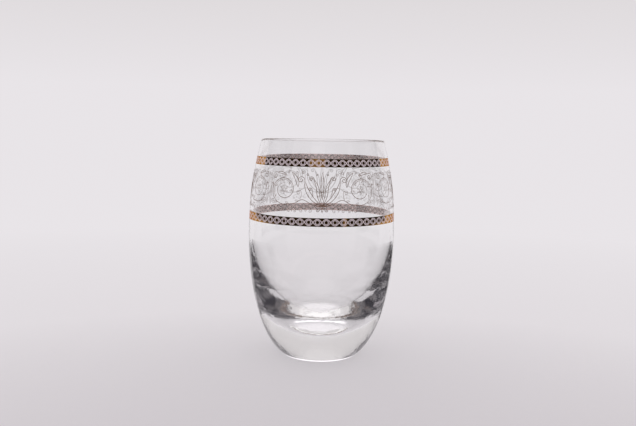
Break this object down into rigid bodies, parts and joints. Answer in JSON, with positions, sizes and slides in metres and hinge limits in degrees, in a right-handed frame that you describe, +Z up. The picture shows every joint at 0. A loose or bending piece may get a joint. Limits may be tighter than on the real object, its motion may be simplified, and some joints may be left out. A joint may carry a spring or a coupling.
{
  "type": "highball glass",
  "caption": "Barrel-shaped highball drinking glass with a heavy solid base, two etched gold bands around the upper wall and a frieze of scrollwork between them.",
  "frame": {"origin": "centre of the ring that the glass stands on, on the table", "axes": "+Z up along the axis of the glass, towards the rim; the glass is turned about Z, and -Y faces the picture's camera"},
  "size_m": [0.0798, 0.0798, 0.118],
  "materials": {
    "clear_glass": "clear, fire-polished",
    "etched_gold": "burnished gold over an etched pattern",
    "etched_lines": "matte etched lines"
  },
  "bodies": {
    "root": {"glass_body": "clear_glass", "upper_gold_band": "etched_gold", "lower_gold_band": "etched_gold", "scroll_panel_1": "etched_lines", "scroll_panel_2": "etched_lines", "scroll_panel_3": "etched_lines", "scroll_panel_4": "etched_lines"}
  },
  "joints": []
}
